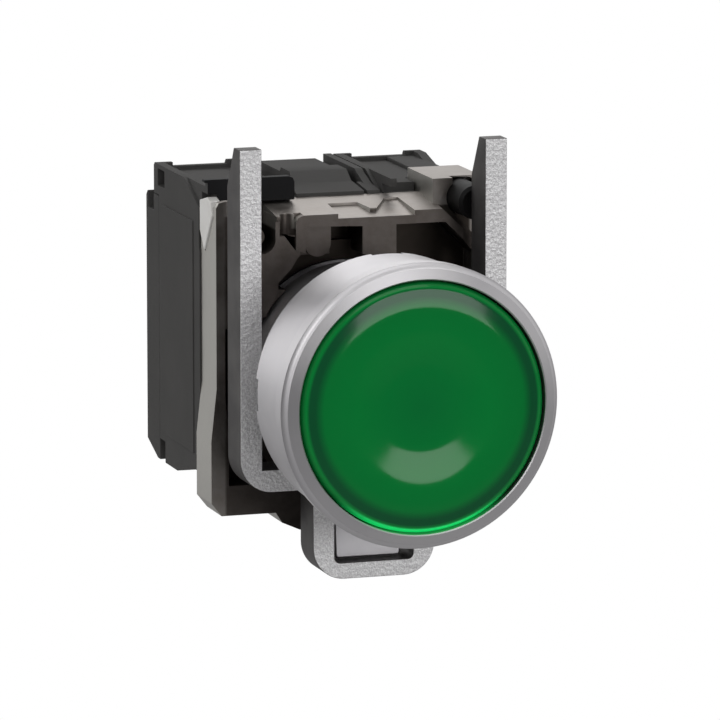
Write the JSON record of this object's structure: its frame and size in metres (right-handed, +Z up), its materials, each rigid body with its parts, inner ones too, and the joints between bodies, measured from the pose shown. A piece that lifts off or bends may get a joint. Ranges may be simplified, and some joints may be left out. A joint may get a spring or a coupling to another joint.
{
  "type": "illuminated push button",
  "caption": "Illuminated flush push button with chromed bezel, green lens, panel clamp yoke, die-cast fixing collar and a row of contact and lamp blocks behind it.",
  "frame": {"origin": "on the button's axis, in the plane of the panel's front face (rear face of the gasket)", "axes": "+Y from the button's front towards the contact blocks, +Z up, +X to the right seen from the front"},
  "size_m": [0.0306, 0.05, 0.0455],
  "materials": {
    "chromed_zinc": "satin chromed casting",
    "zinc_casting": "satin die-cast zinc",
    "sand_cast_zinc": "fine sand-cast zinc",
    "green_lens": "translucent green plastic",
    "white_plastic": "moulded white plastic",
    "black_rubber": "moulded black rubber",
    "grey_plastic": "dark grey moulded plastic",
    "carrier_plastic": "black moulded plastic",
    "plated_steel": "zinc-plated steel",
    "black_steel": "black oxide steel",
    "spring_steel": "drawn spring steel",
    "tinned_brass": "tinned brass",
    "board_laminate": "glass-fibre laminate",
    "clear_epoxy": "clear cast epoxy"
  },
  "bodies": {
    "frame": {"bezel": "chromed_zinc", "panel_gasket": "black_rubber", "collar_body": "zinc_casting", "lever_pin": "plated_steel", "lever_spring": "spring_steel", "return_spring": "spring_steel", "lamp_holder": "white_plastic", "led_lens": "clear_epoxy", "lamp_board": "board_laminate", "plunger_spring_no": "spring_steel", "plunger_spring_nc": "spring_steel", "housing_no": "grey_plastic", "housing_lamp": "grey_plastic", "housing_nc": "grey_plastic", "cover_no": "grey_plastic", "cover_lamp": "grey_plastic", "cover_nc": "grey_plastic", "latch_no": "white_plastic", "terminal_no_top": "tinned_brass", "terminal_no_bottom": "tinned_brass", "terminal_lamp_top": "tinned_brass", "terminal_lamp_bottom": "tinned_brass", "terminal_nc_top": "tinned_brass", "terminal_nc_bottom": "tinned_brass"},
    "button": {"lens_cap": "green_lens", "diffuser": "white_plastic", "button_carrier": "carrier_plastic", "lip_seal": "black_rubber", "carrier_clip": "spring_steel"},
    "plunger_set_no": {"plunger_no": "carrier_plastic", "contact_spring_no": "spring_steel"},
    "plunger_set_nc": {"plunger_nc": "carrier_plastic", "contact_spring_nc": "spring_steel"},
    "bridge_set_no": {"bridge_no": "tinned_brass"},
    "bridge_set_nc": {"bridge_nc": "tinned_brass"},
    "yoke": {"clamp_yoke": "sand_cast_zinc"},
    "clamp_screw_body": {"clamp_screw": "black_steel"},
    "lever": {"locking_lever": "plated_steel"},
    "washer_no_top": {"clamp_washer_no_top": "plated_steel"},
    "screw_no_top": {"terminal_screw_no_top": "plated_steel"},
    "washer_no_bottom": {"clamp_washer_no_bottom": "plated_steel"},
    "screw_no_bottom": {"terminal_screw_no_bottom": "plated_steel"},
    "washer_lamp_top": {"clamp_washer_lamp_top": "plated_steel"},
    "screw_lamp_top": {"terminal_screw_lamp_top": "plated_steel"},
    "washer_lamp_bottom": {"clamp_washer_lamp_bottom": "plated_steel"},
    "screw_lamp_bottom": {"terminal_screw_lamp_bottom": "plated_steel"},
    "washer_nc_top": {"clamp_washer_nc_top": "plated_steel"},
    "screw_nc_top": {"terminal_screw_nc_top": "plated_steel"},
    "washer_nc_bottom": {"clamp_washer_nc_bottom": "plated_steel"},
    "screw_nc_bottom": {"terminal_screw_nc_bottom": "plated_steel"}
  },
  "joints": [
    {"name": "button_press", "type": "slide", "parent": "frame", "child": "button", "axis": [0, 1, 0], "range_m": [0, 0.0043], "stiffness_N_per_m": 500, "springref_m": -0.006, "deforming": ["return_spring"]},
    {"name": "plunger_no_push", "type": "slide", "parent": "frame", "child": "plunger_set_no", "axis": [0, 1, 0], "range_m": [0, 0.0043], "deforming": ["plunger_spring_no"]},
    {"name": "plunger_nc_push", "type": "slide", "parent": "frame", "child": "plunger_set_nc", "axis": [0, 1, 0], "range_m": [0, 0.0043], "deforming": ["plunger_spring_nc"]},
    {"name": "bridge_no_move", "type": "slide", "parent": "frame", "child": "bridge_set_no", "axis": [0, 1, 0], "range_m": [0, 0.0026], "deforming": ["contact_spring_no"]},
    {"name": "bridge_nc_move", "type": "slide", "parent": "frame", "child": "bridge_set_nc", "axis": [0, 1, 0], "range_m": [0, 0.0028], "deforming": ["contact_spring_nc"]},
    {"name": "yoke_slide", "type": "slide", "parent": "frame", "child": "yoke", "axis": [0, 1, 0], "range_m": [-0.002, 0.003]},
    {"name": "clamp_screw_turn", "type": "hinge", "parent": "yoke", "child": "clamp_screw_body", "pos_m": [0.0126, 0.0144, 0.0173], "axis": [0, 1, 0], "range_deg": [-1030, 1545]},
    {"name": "locking_lever_lift", "type": "hinge", "parent": "frame", "child": "lever", "pos_m": [0, 0.0109, -0.0133], "axis": [-1, 0, 0], "range_deg": [0, 20], "stiffness_Nm_per_rad": 0.02, "springref_deg": -17.19, "deforming": ["lever_spring"]},
    {"name": "washer_no_top_lift", "type": "slide", "parent": "frame", "child": "washer_no_top", "axis": [0, 1, 0], "range_m": [0, 0.0016]},
    {"name": "screw_no_top_turn", "type": "hinge", "parent": "washer_no_top", "child": "screw_no_top", "pos_m": [-0.01, 0.0322, 0.0098], "axis": [0, 1, 0], "range_deg": [0, 960]},
    {"name": "washer_no_bottom_lift", "type": "slide", "parent": "frame", "child": "washer_no_bottom", "axis": [0, 1, 0], "range_m": [0, 0.0016]},
    {"name": "screw_no_bottom_turn", "type": "hinge", "parent": "washer_no_bottom", "child": "screw_no_bottom", "pos_m": [-0.01, 0.0322, -0.0054], "axis": [0, 1, 0], "range_deg": [0, 960]},
    {"name": "washer_lamp_top_lift", "type": "slide", "parent": "frame", "child": "washer_lamp_top", "axis": [0, 1, 0], "range_m": [0, 0.0016]},
    {"name": "screw_lamp_top_turn", "type": "hinge", "parent": "washer_lamp_top", "child": "screw_lamp_top", "pos_m": [0, 0.0322, 0.0098], "axis": [0, 1, 0], "range_deg": [0, 960]},
    {"name": "washer_lamp_bottom_lift", "type": "slide", "parent": "frame", "child": "washer_lamp_bottom", "axis": [0, 1, 0], "range_m": [0, 0.0016]},
    {"name": "screw_lamp_bottom_turn", "type": "hinge", "parent": "washer_lamp_bottom", "child": "screw_lamp_bottom", "pos_m": [0, 0.0322, -0.0054], "axis": [0, 1, 0], "range_deg": [0, 960]},
    {"name": "washer_nc_top_lift", "type": "slide", "parent": "frame", "child": "washer_nc_top", "axis": [0, 1, 0], "range_m": [0, 0.0016]},
    {"name": "screw_nc_top_turn", "type": "hinge", "parent": "washer_nc_top", "child": "screw_nc_top", "pos_m": [0.01, 0.0322, 0.0098], "axis": [0, 1, 0], "range_deg": [0, 960]},
    {"name": "washer_nc_bottom_lift", "type": "slide", "parent": "frame", "child": "washer_nc_bottom", "axis": [0, 1, 0], "range_m": [0, 0.0016]},
    {"name": "screw_nc_bottom_turn", "type": "hinge", "parent": "washer_nc_bottom", "child": "screw_nc_bottom", "pos_m": [0.01, 0.0322, -0.0054], "axis": [0, 1, 0], "range_deg": [0, 960]}
  ],
  "couplings": [
    {"joint": "plunger_no_push", "follows": "button_press", "ratio": 1},
    {"joint": "plunger_nc_push", "follows": "button_press", "ratio": 1},
    {"joint": "bridge_no_move", "follows": "button_press", "ratio": 0.6046},
    {"joint": "bridge_nc_move", "follows": "button_press", "ratio": 0.6511},
    {"joint": "clamp_screw_turn", "follows": "yoke_slide", "rad_per_m": 8975.9},
    {"joint": "screw_no_top_turn", "follows": "washer_no_top_lift", "rad_per_m": 10472},
    {"joint": "screw_no_bottom_turn", "follows": "washer_no_bottom_lift", "rad_per_m": 10472},
    {"joint": "screw_lamp_top_turn", "follows": "washer_lamp_top_lift", "rad_per_m": 10472},
    {"joint": "screw_lamp_bottom_turn", "follows": "washer_lamp_bottom_lift", "rad_per_m": 10472},
    {"joint": "screw_nc_top_turn", "follows": "washer_nc_top_lift", "rad_per_m": 10472},
    {"joint": "screw_nc_bottom_turn", "follows": "washer_nc_bottom_lift", "rad_per_m": 10472}
  ]
}
